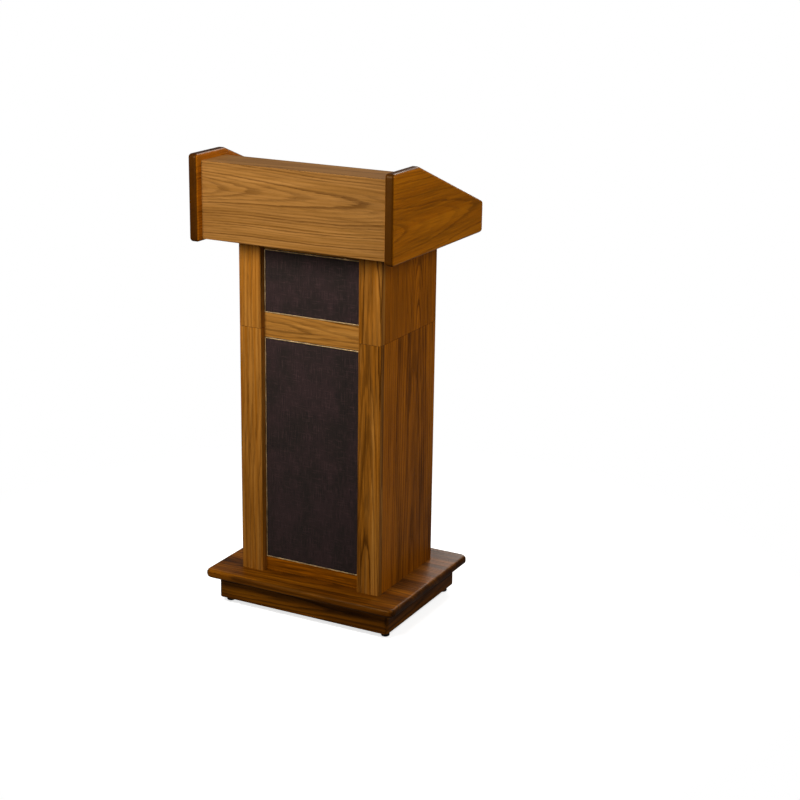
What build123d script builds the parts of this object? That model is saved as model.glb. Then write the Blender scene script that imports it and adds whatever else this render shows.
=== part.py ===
from build123d import *
import math
import os

# Wooden pulpit: a reading hood on a short column (the upper unit) that stands on a
# taller column with a stepped plinth (the pedestal). Millimetres, +Z up, origin on the
# floor under the middle of the hood. The audience side faces -Y, and left and right are
# as seen from that side.

# ---- overall sizes -------------------------------------------------------------------
total_height = 1194.0
column_width = 406.0
column_depth = 298.0
upper_column_height = 230.0  # from the joint between the units to the hood's floor
front_y = -column_depth / 2
rear_y = column_depth / 2

# ---- boards --------------------------------------------------------------------------
side_thickness = 19.0
rail_thickness = 19.0
deck_thickness = 19.0
baffle_thickness = 12.0
stile_width = 62.8
stile_thickness = 19.5
stile_round = 3.0
eased_edge = 1.0
joint_chamfer = 0.7  # along the joint between the units, on both of them

# ---- plinth --------------------------------------------------------------------------
foot_gap = 15.0
apron_height = 58.5
apron_thickness = 38.0
apron_width = 502.0
apron_depth = 386.0
apron_corner_round = 12.0
apron_foot_round = 2.0
plinth_shift = 3.0  # the plinth sits this far to the rear of the column's middle
plinth_board_width = 560.0
plinth_board_depth = 438.0
plinth_board_thickness = 22.0
plinth_corner_round = 20.0
bullnose_top = 10.0
bullnose_bottom = 8.0

# ---- levelling glides ----------------------------------------------------------------
glide_past_mitre = 10.0  # keeps the threaded insert in the side board, clear of the mitre
glide_pad_radius = 11.0
glide_pad_height = 9.0
glide_collar_radius = 7.0
glide_collar_gap = 0.4
glide_stud_radius = 4.0
glide_stud_top = 50.0
glide_pad_chamfer = 1.5
glide_pad_round = 3.0
insert_wall = 1.45
insert_length = 25.0
glide_end_room = 2.0  # air over the stud's end in its hole
thread_clearance = 0.05

# ---- rails and grilles ---------------------------------------------------------------
lower_bottom_rail_height = 34.5
lower_top_rail_height = 25.0
upper_bottom_rail_height = 38.0
upper_top_rail_height = 28.0
grille_clearance = 0.7
grille_wrap = 1.2  # room at the frame's edges for the cloth that turns round them
grille_frame_width = 20.0
grille_frame_thickness = 17.0
grille_frame_round = 3.0
cloth_thickness = 1.0
bead_width = 3.0
bead_height = 1.6
grille_standoff = 1.0  # between the grille frame and the baffle behind it
peg_radius = 4.0
peg_embed = 10.0
peg_reach = 9.5
peg_clearance = 0.08
socket_wall = 1.9
socket_flange_width = 1.5
socket_flange_thickness = 0.6
socket_depth = 10.0
socket_floor = 1.0

# ---- loudspeaker drivers -------------------------------------------------------------
driver_flange_width = 9.0
driver_flange_thickness = 4.0
driver_opening_radius = 57.0
driver_basket_wall = 2.0
driver_basket_depth = 38.0
driver_magnet_radius = 40.0
driver_magnet_length = 20.0
driver_pole_radius = 12.0
driver_hub_step = 4.0  # the basket's hub is this much smaller than the magnet
cone_gap = 2.0
cone_setback = 1.5
cone_clearance = 3.0  # between the cone's back and the basket's hub
cone_skin = 1.8
cone_surround_width = 9.0
dust_cap_radius = 18.0
dust_cap_rise = 6.0
driver_screw_radius = 1.9
driver_screw_head_radius = 4.0
driver_screw_head_height = 2.2
driver_screw_tip = 2.0  # wood left in front of a screw's tip

# ---- shelves -------------------------------------------------------------------------
driver_bay_height = 274.0  # between the fixed shelf and the pedestal's top deck
shelf_thickness = 19.0
shelf_side_clearance = 1.5
shelf_front_gap = 28.0
shelf_rear_inset = 9.0
shelf_rest_gap = 0.3
pin_radius = 2.5
pin_hole_depth = 9.0
pin_head_radius = 4.0
pin_head_length = 9.0
pin_inset = 34.0
pin_pitch = 32.0
pin_margin = 60.0  # from the last pin hole to the ends of the bay
back_rail_height = 50.0

# ---- joint between the units ---------------------------------------------------------
dowel_radius = 5.0
dowel_length = 24.0
dowel_clearance = 0.1
dowel_inset = 34.0
wiring_hole_radius = 25.0
wiring_hole_y = 60.0

# ---- hood ----------------------------------------------------------------------------
hood_width = 568.0
hood_depth = 492.0
cheek_thickness = 25.0
hood_height = 218.0
cheek_fall = 138.0  # from a cheek's level top to its rear corner
column_lap = 6.0  # the column's top stands this far inside the hood
cheek_flat = 131.0  # length of the level part of a cheek's top, from the front
cheek_corner_round = 10.0
cheek_edge_round = 7.0
panel_setback = 21.7
panel_thickness = 19.0
cap_drop = 18.0  # the cap board and the desk lie this far under the cheeks' top edges
cap_thickness = 19.0
desk_thickness = 19.0
hood_floor_thickness = 12.0
hood_rear_setback = 6.0
hood_back_thickness = 19.0
book_stop_width = 19.0
book_stop_height = 14.0
book_stop_round = 3.0
cleat_size = 25.0
hood_screw_radius = 2.0
hood_screw_head_radius = 4.0
hood_screw_head_depth = 2.5
hood_screw_bite = 9.0

# ---- places worked out from the sizes ------------------------------------------------
inner_x = column_width / 2 - side_thickness
opening_x = column_width / 2 - stile_width
face_y = front_y + stile_thickness  # front face of the rails and of the grille cloth
frame_front_y = face_y + cloth_thickness
frame_back_y = frame_front_y + grille_frame_thickness
baffle_front_y = frame_back_y + grille_standoff
baffle_back_y = baffle_front_y + baffle_thickness
plinth_top = foot_gap + apron_height + plinth_board_thickness
cheek_bottom = total_height - hood_height
cheek_rear_top = total_height - cheek_fall
column_top = cheek_bottom + column_lap
joint_level = column_top - upper_column_height
lower_deck_bottom = joint_level - deck_thickness
upper_deck_top = joint_level + deck_thickness
lower_grille_bottom = plinth_top + lower_bottom_rail_height
lower_grille_top = joint_level - lower_top_rail_height
upper_grille_bottom = joint_level + upper_bottom_rail_height
upper_grille_top = column_top - upper_top_rail_height
hood_front_y = -hood_depth / 2
hood_rear_y = hood_depth / 2
hood_inner_x = hood_width / 2 - cheek_thickness
panel_front_y = hood_front_y + panel_setback
panel_back_y = panel_front_y + panel_thickness
apex_y = hood_front_y + cheek_flat
slope = math.atan2(total_height - cheek_rear_top, hood_rear_y - apex_y)
cap_top = total_height - cap_drop
desk_rear_y = hood_rear_y - hood_rear_setback
hood_back_y = desk_rear_y - hood_back_thickness
driver_front_y = baffle_back_y
driver_flange_radius = driver_opening_radius + driver_flange_width
driver_back_y = driver_front_y + driver_flange_thickness + driver_basket_depth
fixed_shelf_level = lower_deck_bottom - driver_bay_height - shelf_thickness
lower_driver_level = lower_deck_bottom - driver_bay_height / 2
shelf_level = (plinth_top + fixed_shelf_level - shelf_thickness) / 2
shelf_front_y = baffle_back_y + shelf_front_gap
shelf_rear_y = rear_y - shelf_rear_inset
pin_y = (shelf_front_y + pin_inset, shelf_rear_y - pin_inset)
pin_level = shelf_level - shelf_rest_gap - pin_head_radius
pin_steps = int(((fixed_shelf_level - plinth_top) / 2 - pin_margin) // pin_pitch)
peg_bore_radius = peg_radius + peg_clearance
socket_radius = peg_bore_radius + socket_wall
socket_flange_radius = socket_radius + socket_flange_width
insert_bore_radius = glide_stud_radius + thread_clearance
insert_radius = insert_bore_radius + insert_wall
glide_inset_x = apron_thickness / 2
glide_inset_y = glide_inset_x + glide_past_mitre
sides = {"left": -1, "right": 1}


# ---- small helpers -------------------------------------------------------------------
def block(x0, x1, y0, y1, z0, z1):
    """A box between two opposite corners."""
    return Pos((x0 + x1) / 2, (y0 + y1) / 2, (z0 + z1) / 2) * Box(x1 - x0, y1 - y0, z1 - z0)


def side_board(side, x_inner, x_outer, y0, y1, z0, z1):
    """A box on the left or right, given by its distances from the middle."""
    x0, x1 = sorted((side * x_inner, side * x_outer))
    return block(x0, x1, y0, y1, z0, z1)


def rod_z(x, y, z0, z1, radius):
    """An upright round bar."""
    return Pos(x, y, (z0 + z1) / 2) * Cylinder(radius, z1 - z0)


def rod_y(x, z, y0, y1, radius):
    """A round bar that runs front to back."""
    return Pos(x, (y0 + y1) / 2, z) * Rot(90, 0, 0) * Cylinder(radius, y1 - y0)


def rod_x(y, z, x0, x1, radius):
    """A round bar that runs left to right."""
    return Pos((x0 + x1) / 2, y, z) * Rot(0, 90, 0) * Cylinder(radius, x1 - x0)


def across(points, x0, x1):
    """A front-to-back outline of (y, z) points, given its width along X."""
    face = make_face(Polyline(*[(x0, y, z) for y, z in points], close=True))
    return extrude(face, amount=x1 - x0, dir=(1, 0, 0))


def turned(points):
    """An outline of (radius, y) points turned about the Y axis."""
    face = make_face(Polyline(*[(r, y, 0) for r, y in points], close=True))
    return revolve(face, Axis.Y)


def eased(board, edges, radius=eased_edge):
    """The board with the given edges rounded."""
    return fillet(edges, radius)


def upright_edges_at(board, y):
    """The board's vertical edges that lie at the given y."""
    return board.edges().filter_by(Axis.Z).filter_by(lambda e: abs(e.center().Y - y) < 0.01)


def level_edges_at(board, y, z):
    """The board's left-to-right edges that lie at the given y and z."""
    along = board.edges().filter_by(Axis.X)
    return along.filter_by(lambda e: abs(e.center().Y - y) < 0.01 and abs(e.center().Z - z) < 0.01)


def edges_at_joint(board, exposed):
    """The edges of a board's end at the joint between the units that the test says show."""
    level = board.edges().filter_by(lambda e: abs(e.center().Z - joint_level) < 0.01)
    return level.filter_by(lambda e: exposed(e.center()))


def group(pieces):
    """Several separate solids as one node."""
    return Compound(children=list(pieces))


def desk_surface(y):
    """Height of the reading desk's top face at the given y."""
    return cap_top - (y - apex_y) * math.tan(slope)


# ---- column boards -------------------------------------------------------------------
def stile(side, z0, z1):
    board = side_board(side, opening_x, column_width / 2, front_y, face_y, z0, z1)
    board = eased(board, upright_edges_at(board, front_y), stile_round)
    return chamfer(edges_at_joint(board, lambda c: c.Y < face_y - 0.01), joint_chamfer)


def side_panel(side, z0, z1):
    board = side_board(side, inner_x, column_width / 2, face_y, rear_y, z0, z1)
    board = eased(board, upright_edges_at(board, rear_y))
    skin = column_width / 2 - eased_edge
    return chamfer(edges_at_joint(board, lambda c: abs(c.X) > skin), joint_chamfer)


def rail(z0, z1, grille_edge):
    """A rail over or under a grille, with its edge along the grille eased."""
    board = block(-inner_x, inner_x, face_y, face_y + rail_thickness, z0, z1)
    board = eased(board, level_edges_at(board, face_y, grille_edge))
    if joint_level in (z0, z1):
        board = chamfer(level_edges_at(board, face_y, joint_level), joint_chamfer)
    return board


def lower_back_rail():
    top = plinth_top + back_rail_height
    board = block(-inner_x, inner_x, rear_y - rail_thickness, rear_y, plinth_top, top)
    return eased(board, level_edges_at(board, rear_y, top))


def wiring_hole(z0, z1):
    return rod_z(0, wiring_hole_y, z0, z1, wiring_hole_radius)


def deck(z0, z1):
    board = block(-inner_x, inner_x, face_y + rail_thickness, rear_y, z0, z1)
    board = eased(board, level_edges_at(board, rear_y, z0) + level_edges_at(board, rear_y, z1))
    return board - wiring_hole(z0, z1)


def shelf_pin_places():
    return [(side, y) for side in sides.values() for y in pin_y]


def shelf_pin_hole(side, y, z):
    x0, x1 = sorted((side * inner_x, side * (inner_x + pin_hole_depth)))
    return rod_x(y, z, x0, x1, pin_radius)


def shelf_pin(side, y):
    x0, x1 = sorted((side * (inner_x - pin_head_length), side * inner_x))
    return shelf_pin_hole(side, y, pin_level) + rod_x(y, pin_level, x0, x1, pin_head_radius)


def lower_side(side):
    board = side_panel(side, plinth_top, joint_level)
    for y in pin_y:
        for row in range(-pin_steps, pin_steps + 1):
            board -= shelf_pin_hole(side, y, pin_level + row * pin_pitch)
    return board


def full_shelf():
    top = fixed_shelf_level + shelf_thickness
    board = block(-inner_x, inner_x, baffle_back_y, rear_y, fixed_shelf_level, top)
    rear = level_edges_at(board, rear_y, fixed_shelf_level) + level_edges_at(board, rear_y, top)
    return eased(board, rear) - wiring_hole(fixed_shelf_level, top)


def loose_shelf():
    x = inner_x - shelf_side_clearance
    board = block(-x, x, shelf_front_y, shelf_rear_y, shelf_level, shelf_level + shelf_thickness)
    long_edges = board.edges().filter_by(Axis.X)
    return eased(board, long_edges.filter_by(lambda e: abs(e.center().Y - shelf_rear_y) < 0.01))


# ---- locating dowels between the units -----------------------------------------------
def dowel_places():
    y0 = face_y + rail_thickness + dowel_inset
    return [(s * (inner_x - dowel_inset), y) for s in sides.values() for y in (y0, rear_y - dowel_inset)]


def dowel(x, y, clearance=0.0):
    z0 = joint_level - dowel_length / 2
    return rod_z(x, y, z0, z0 + dowel_length + clearance, dowel_radius + clearance)


def pierced_deck(z0, z1, clearance):
    board = deck(z0, z1)
    for x, y in dowel_places():
        board -= dowel(x, y, clearance)
    return board


# ---- grilles -------------------------------------------------------------------------
def grille_box(z0, z1, inset, y0, y1):
    x = opening_x - grille_clearance - inset
    margin = grille_clearance + inset
    return block(-x, x, y0, y1, z0 + margin, z1 - margin)


def peg_places(z0, z1):
    inset = grille_clearance + grille_wrap + grille_frame_width / 2
    x = opening_x - inset
    return [(s * x, z) for s in sides.values() for z in (z0 + inset, z1 - inset)]


def grille_frame(z0, z1):
    frame = grille_box(z0, z1, grille_wrap, frame_front_y, frame_back_y)
    corners = frame.edges().filter_by(Axis.Y)
    frame = fillet(corners, grille_frame_round)
    frame -= grille_box(z0, z1, grille_wrap + grille_frame_width, frame_front_y, frame_back_y)
    for x, z in peg_places(z0, z1):
        frame -= rod_y(x, z, frame_back_y - peg_embed, frame_back_y, peg_radius)
    return frame


def grille_cloth(z0, z1):
    return grille_box(z0, z1, 0, face_y, frame_front_y)


def grille_bead(z0, z1):
    y0 = face_y - bead_height
    ring = grille_box(z0, z1, 0, y0, face_y)
    return ring - grille_box(z0, z1, bead_width, y0, face_y)


def grille_pegs(z0, z1):
    y0 = frame_back_y - peg_embed
    y1 = frame_back_y + peg_reach
    return group(rod_y(x, z, y0, y1, peg_radius) for x, z in peg_places(z0, z1))


def peg_socket(x, z):
    cup = rod_y(x, z, baffle_front_y, baffle_front_y + socket_depth, socket_radius)
    cup += rod_y(x, z, baffle_front_y - socket_flange_thickness, baffle_front_y, socket_flange_radius)
    y1 = baffle_front_y + socket_depth - socket_floor
    return cup - rod_y(x, z, baffle_front_y - socket_flange_thickness, y1, peg_bore_radius)


def baffle(z0, z1, grille_z0, grille_z1, driver_z):
    board = block(-inner_x, inner_x, baffle_front_y, baffle_back_y, z0, z1)
    board -= rod_y(0, driver_z, baffle_front_y, baffle_back_y, driver_opening_radius)
    for x, z in peg_places(grille_z0, grille_z1):
        board -= rod_y(x, z, baffle_front_y, baffle_front_y + socket_depth, socket_radius)
    for screw in driver_screws(driver_z):
        board -= screw
    return board


# ---- loudspeaker drivers, mounted on the back of a baffle ----------------------------
def driver_screws(z):
    """Four screws through the flange, with their heads behind it."""
    back = driver_front_y + driver_flange_thickness
    ring = (driver_flange_radius + driver_opening_radius) / 2
    screws = []
    for quarter in range(4):
        angle = math.radians(45 + 90 * quarter)
        x = ring * math.cos(angle)
        level = z + ring * math.sin(angle)
        shank = rod_y(x, level, baffle_front_y + driver_screw_tip, back, driver_screw_radius)
        head = rod_y(x, level, back, back + driver_screw_head_height, driver_screw_head_radius)
        screws.append(shank + head)
    return screws


def driver_basket(z):
    y0 = driver_front_y
    y1 = y0 + driver_flange_thickness
    wall = driver_basket_wall
    hub = driver_magnet_radius - driver_hub_step
    outline = [
        (driver_opening_radius, y0),
        (driver_flange_radius, y0),
        (driver_flange_radius, y1),
        (driver_opening_radius + wall, y1),
        (hub, driver_back_y),
        (driver_pole_radius, driver_back_y),
        (driver_pole_radius, driver_back_y - wall),
        (hub - wall, driver_back_y - wall),
        (driver_opening_radius, y1),
    ]
    basket = Pos(0, 0, z) * turned(outline)
    for screw in driver_screws(z):
        basket -= screw
    return basket


def driver_cone(z):
    rim = driver_opening_radius - cone_gap
    y0 = driver_front_y + cone_setback
    deep = driver_back_y - driver_basket_wall - cone_clearance
    neck = rim - cone_surround_width
    outline = [
        (0, deep - dust_cap_rise),
        (dust_cap_radius * 0.6, deep - dust_cap_rise * 0.7),
        (dust_cap_radius, deep - cone_skin),
        (neck, y0),
        (neck + cone_surround_width / 2, y0 - cone_skin),
        (rim, y0),
        (rim, y0 + cone_skin),
        (neck, y0 + cone_skin),
        (dust_cap_radius, deep),
        (0, deep),
    ]
    return Pos(0, 0, z) * turned(outline)


def driver_magnet(z):
    return rod_y(0, z, driver_back_y, driver_back_y + driver_magnet_length, driver_magnet_radius)


# ---- plinth --------------------------------------------------------------------------
def glide_places():
    x = apron_width / 2 - glide_inset_x
    y = apron_depth / 2 - glide_inset_y
    return {
        "front_left": (-x, plinth_shift - y),
        "front_right": (x, plinth_shift - y),
        "back_left": (-x, plinth_shift + y),
        "back_right": (x, plinth_shift + y),
    }


def apron_boards():
    """Four mitred boards cut from one frame with rounded outer corners."""
    half_x = apron_width / 2
    half_y = apron_depth / 2
    ring = Rectangle(apron_width, apron_depth)
    ring = fillet(ring.vertices(), apron_corner_round)
    ring -= Rectangle(apron_width - 2 * apron_thickness, apron_depth - 2 * apron_thickness)
    frame = Pos(0, plinth_shift, foot_gap) * extrude(ring, apron_height)
    frame = fillet(frame.faces().sort_by(Axis.Z)[0].outer_wire().edges(), apron_foot_round)
    for x, y in glide_places().values():
        frame -= rod_z(x, y, foot_gap, foot_gap + insert_length, insert_radius)
        frame -= rod_z(x, y, foot_gap, glide_stud_top + glide_end_room, insert_bore_radius)
    in_x = half_x - apron_thickness
    in_y = half_y - apron_thickness
    wedges = {
        "front": [(-half_x, -half_y), (half_x, -half_y), (in_x, -in_y), (-in_x, -in_y)],
        "right": [(half_x, -half_y), (half_x, half_y), (in_x, in_y), (in_x, -in_y)],
        "back": [(half_x, half_y), (-half_x, half_y), (-in_x, in_y), (in_x, in_y)],
        "left": [(-half_x, half_y), (-half_x, -half_y), (-in_x, -in_y), (-in_x, in_y)],
    }
    boards = {}
    for name, points in wedges.items():
        face = make_face(Polyline(*points, close=True))
        wedge = Pos(0, plinth_shift, foot_gap) * extrude(face, apron_height)
        boards["apron_" + name] = frame & wedge
    return boards


def plinth_board():
    outline = fillet(Rectangle(plinth_board_width, plinth_board_depth).vertices(), plinth_corner_round)
    board = extrude(outline, plinth_board_thickness)
    board = fillet(board.faces().sort_by(Axis.Z)[-1].edges(), bullnose_top)
    board = fillet(board.faces().sort_by(Axis.Z)[0].edges(), bullnose_bottom)
    return Pos(0, plinth_shift, foot_gap + apron_height) * board


def glide(x, y):
    """Pad, collar and stud moulded as one piece."""
    pad = Cylinder(glide_pad_radius, glide_pad_height)
    pad = chamfer(pad.faces().sort_by(Axis.Z)[0].edges(), glide_pad_chamfer)
    pad = fillet(pad.faces().sort_by(Axis.Z)[-1].edges(), glide_pad_round)
    pad = Pos(x, y, glide_pad_height / 2) * pad
    pad += rod_z(x, y, glide_pad_height, foot_gap - glide_collar_gap, glide_collar_radius)
    return pad + rod_z(x, y, foot_gap - glide_collar_gap, glide_stud_top, glide_stud_radius)


def glide_insert(x, y):
    body = rod_z(x, y, foot_gap, foot_gap + insert_length, insert_radius)
    bore = rod_z(x, y, foot_gap, foot_gap + insert_length, insert_bore_radius)
    return body - bore


# ---- hood ----------------------------------------------------------------------------
def cheek(side):
    """One inch board with a level top, a sloping top and rounded edges all round."""
    x0, x1 = sorted((side * hood_inner_x, side * hood_width / 2))
    outline = [
        (hood_front_y, cheek_bottom),
        (hood_front_y, total_height),
        (apex_y, total_height),
        (hood_rear_y, cheek_rear_top),
        (hood_rear_y, cheek_bottom),
    ]
    board = across(outline, x0, x1)
    corners = board.edges().filter_by(Axis.X)
    square = corners.filter_by(lambda e: abs(e.center().Y - apex_y) > 1)
    board = fillet(square, cheek_corner_round)
    rims = board.faces().filter_by(Axis.X).edges()
    return fillet(rims, cheek_edge_round)


def hood_front_panel():
    board = block(-hood_inner_x, hood_inner_x, panel_front_y, panel_back_y, column_top, cap_top)
    front_edges = board.edges().filter_by(Axis.X)
    return eased(board, front_edges.filter_by(lambda e: abs(e.center().Y - panel_front_y) < 0.01))


def hood_cap_board():
    return block(-hood_inner_x, hood_inner_x, panel_back_y, apex_y, cap_top - cap_thickness, cap_top)


def desk_underside(y):
    return desk_surface(y) - desk_thickness / math.cos(slope)


def reading_desk():
    outline = [
        (apex_y, desk_surface(apex_y)),
        (desk_rear_y, desk_surface(desk_rear_y)),
        (desk_rear_y, desk_underside(desk_rear_y)),
        (apex_y, desk_underside(apex_y)),
    ]
    return across(outline, -hood_inner_x, hood_inner_x)


def book_stop():
    """A strip along the desk's low edge that keeps papers from sliding off."""
    along = (math.cos(slope), -math.sin(slope))
    up = (math.sin(slope), math.cos(slope))
    foot_y, foot_z = desk_rear_y, desk_surface(desk_rear_y)
    start = (foot_y - along[0] * book_stop_width, foot_z - along[1] * book_stop_width)
    outline = [
        start,
        (foot_y, foot_z),
        (foot_y + up[0] * book_stop_height, foot_z + up[1] * book_stop_height),
        (start[0] + up[0] * book_stop_height, start[1] + up[1] * book_stop_height),
    ]
    strip = across(outline, -hood_inner_x, hood_inner_x)
    top_edges = strip.edges().filter_by(Axis.X).sort_by(Axis.Z)[-2:]
    return fillet(top_edges, book_stop_round)


def hood_back_rail():
    outline = [
        (hood_back_y, column_top),
        (desk_rear_y, column_top),
        (desk_rear_y, desk_underside(desk_rear_y)),
        (hood_back_y, desk_underside(hood_back_y)),
    ]
    board = across(outline, -hood_inner_x, hood_inner_x)
    return eased(board, level_edges_at(board, desk_rear_y, column_top))


def hood_floor():
    top = column_top + hood_floor_thickness
    board = block(-hood_inner_x, hood_inner_x, panel_back_y, hood_back_y, column_top, top)
    board -= wiring_hole(column_top, top)
    for screw in hood_screws():
        board -= screw
    return board


def hood_screws():
    """Countersunk screws up through the cleats into the hood's floor."""
    bottom = column_top - cleat_size
    first = baffle_back_y + cleat_size
    pitch = (rear_y - cleat_size - first) / 2
    screws = []
    for side in sides.values():
        x = side * (inner_x - cleat_size / 2)
        for step in range(3):
            y = first + step * pitch
            neck = bottom + hood_screw_head_depth
            shank = rod_z(x, y, neck, column_top + hood_screw_bite, hood_screw_radius)
            head = Cone(hood_screw_head_radius, hood_screw_radius, hood_screw_head_depth)
            screws.append(shank + Pos(x, y, (bottom + neck) / 2) * head)
    return screws


def hood_cleats():
    cleats = []
    for side in sides.values():
        bar = side_board(
            side, inner_x - cleat_size, inner_x, baffle_back_y, rear_y, column_top - cleat_size, column_top
        )
        for screw in hood_screws():
            bar -= screw
        cleats.append(bar)
    return cleats


# ---- the units -----------------------------------------------------------------------
def grille_nodes(unit, z0, z1):
    return {
        unit + "_grille_frame": grille_frame(z0, z1),
        unit + "_grille_cloth": grille_cloth(z0, z1),
        unit + "_grille_bead": grille_bead(z0, z1),
        unit + "_grille_pegs": grille_pegs(z0, z1),
        unit + "_peg_sockets": group(peg_socket(x, z) for x, z in peg_places(z0, z1)),
    }


def driver_nodes(unit, z):
    return {
        unit + "_driver_basket": driver_basket(z),
        unit + "_driver_cone": driver_cone(z),
        unit + "_driver_magnet": driver_magnet(z),
        unit + "_driver_screws": group(driver_screws(z)),
    }


def pedestal_nodes():
    nodes = {"plinth_board": plinth_board()}
    nodes.update(apron_boards())
    for name, (x, y) in glide_places().items():
        nodes["glide_" + name] = glide(x, y)
    nodes["glide_inserts"] = group(glide_insert(x, y) for x, y in glide_places().values())
    for name, side in sides.items():
        nodes["lower_stile_" + name] = stile(side, plinth_top, joint_level)
        nodes["lower_side_" + name] = lower_side(side)
    nodes["lower_bottom_rail"] = rail(plinth_top, lower_grille_bottom, lower_grille_bottom)
    nodes["lower_top_rail"] = rail(lower_grille_top, joint_level, lower_grille_top)
    nodes["lower_top_deck"] = pierced_deck(lower_deck_bottom, joint_level, 0)
    nodes["locating_dowels"] = group(dowel(x, y) for x, y in dowel_places())
    nodes["lower_baffle"] = baffle(
        plinth_top, lower_deck_bottom, lower_grille_bottom, lower_grille_top, lower_driver_level
    )
    nodes["lower_back_rail"] = lower_back_rail()
    nodes["fixed_shelf"] = full_shelf()
    nodes["adjustable_shelf"] = loose_shelf()
    nodes["shelf_pins"] = group(shelf_pin(side, y) for side, y in shelf_pin_places())
    nodes.update(grille_nodes("lower", lower_grille_bottom, lower_grille_top))
    nodes.update(driver_nodes("lower", lower_driver_level))
    return nodes


def upper_nodes():
    driver_level = (upper_grille_bottom + upper_grille_top) / 2
    nodes = {}
    for name, side in sides.items():
        nodes["upper_stile_" + name] = stile(side, joint_level, column_top)
        nodes["upper_side_" + name] = side_panel(side, joint_level, column_top)
        nodes["hood_cheek_" + name] = cheek(side)
    nodes["upper_bottom_rail"] = rail(joint_level, upper_grille_bottom, upper_grille_bottom)
    nodes["upper_top_rail"] = rail(upper_grille_top, column_top, upper_grille_top)
    nodes["upper_deck"] = pierced_deck(joint_level, upper_deck_top, dowel_clearance)
    nodes["upper_baffle"] = baffle(
        upper_deck_top, column_top, upper_grille_bottom, upper_grille_top, driver_level
    )
    nodes.update(grille_nodes("upper", upper_grille_bottom, upper_grille_top))
    nodes.update(driver_nodes("upper", driver_level))
    nodes["hood_front_panel"] = hood_front_panel()
    nodes["hood_cap_board"] = hood_cap_board()
    nodes["reading_desk"] = reading_desk()
    nodes["book_stop"] = book_stop()
    nodes["hood_back_rail"] = hood_back_rail()
    nodes["hood_floor"] = hood_floor()
    nodes["hood_cleats"] = group(hood_cleats())
    nodes["hood_screws"] = group(hood_screws())
    return nodes


def main():
    os.makedirs("parts", exist_ok=True)
    nodes = {**pedestal_nodes(), **upper_nodes()}
    for name, shape in nodes.items():
        export_step(shape, f"parts/{name}.step")
    print(len(nodes), "nodes")


main()
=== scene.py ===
import math

import bmesh
import bpy
from mathutils import Matrix, Vector


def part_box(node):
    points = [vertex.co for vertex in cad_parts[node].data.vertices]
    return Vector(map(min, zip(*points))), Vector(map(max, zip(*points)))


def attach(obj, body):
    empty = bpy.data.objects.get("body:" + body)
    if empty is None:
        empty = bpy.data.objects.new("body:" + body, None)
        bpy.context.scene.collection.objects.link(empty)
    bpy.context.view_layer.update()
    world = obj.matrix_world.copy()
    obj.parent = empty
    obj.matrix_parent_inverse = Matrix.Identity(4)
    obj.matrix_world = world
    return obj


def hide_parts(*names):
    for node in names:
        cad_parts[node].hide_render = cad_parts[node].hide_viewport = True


bl_info = {
    "name": "Wooden pulpit",
    "version": (1, 0, 0),
    "blender": (4, 5, 0),
    "location": "3D View > Sidebar > Pulpit",
    "description": "Stained oak, grille cloth, gilt trim, glides, drivers and stage of a two-piece pulpit",
    "category": "Add Mesh",
}

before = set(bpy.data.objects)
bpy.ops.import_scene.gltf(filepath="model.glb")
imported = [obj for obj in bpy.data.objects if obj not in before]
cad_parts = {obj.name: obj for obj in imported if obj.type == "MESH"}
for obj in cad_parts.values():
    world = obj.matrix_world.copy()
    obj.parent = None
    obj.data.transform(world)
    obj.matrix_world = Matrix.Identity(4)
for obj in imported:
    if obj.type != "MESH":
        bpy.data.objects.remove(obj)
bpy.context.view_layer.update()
FULL_TURN = 2.0 * math.pi
UNITS = ("lower", "upper")
UNIT_BODY = {"lower": "pedestal", "upper": "upper_unit"}
CORNERS = ("front_left", "front_right", "back_left", "back_right")
AXIS = {"X": 0, "Y": 1, "Z": 2}
WHITE = (1.0, 1.0, 1.0, 1.0)
SAME_PLACE = 1e-6  # corners nearer than this are one
ON_AXIS = 1e-9  # a radius below this is a point on the axis


# ---- node trees ----------------------------------------------------------------------
def math_operator(operation, swapped=False):
    """One of Python's operators as a Math node. The reflected form swaps its two sides."""

    def add_node(self, other):
        sides = (other, self) if swapped else (self, other)
        return self.graph.math(operation, *sides)

    return add_node


class Value:
    """A node's output socket, on which Python's operators add Math nodes."""

    def __init__(self, graph, socket):
        self.graph = graph
        self.socket = socket

    def __abs__(self):
        return self.graph.math("ABSOLUTE", self)

    __add__ = math_operator("ADD")
    __radd__ = math_operator("ADD", swapped=True)
    __sub__ = math_operator("SUBTRACT")
    __rsub__ = math_operator("SUBTRACT", swapped=True)
    __mul__ = math_operator("MULTIPLY")
    __rmul__ = math_operator("MULTIPLY", swapped=True)
    __truediv__ = math_operator("DIVIDE")
    __rtruediv__ = math_operator("DIVIDE", swapped=True)


class Graph:
    """Adds nodes to a material's or a shape's tree."""

    def __init__(self, tree):
        self.tree = tree

    def node(self, kind, settings=None, inputs=None, output=0):
        """A node of one type: its settings first, then its sockets' values or links."""
        made = self.tree.nodes.new(kind)
        for name, setting in (settings or {}).items():
            if name == "stops":
                fill_ramp(made.color_ramp, setting)
            else:
                setattr(made, name, setting)
        for key, given in (inputs or {}).items():
            if isinstance(given, Value):
                self.tree.links.new(given.socket, made.inputs[key])
            else:
                made.inputs[key].default_value = given
        return Value(self, made.outputs[output]) if made.outputs else None

    def math(self, operation, *values):
        return self.node("ShaderNodeMath", {"operation": operation}, dict(enumerate(values)))

    def combine(self, x, y, z):
        return self.node("ShaderNodeCombineXYZ", None, {0: x, 1: y, 2: z})


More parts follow.
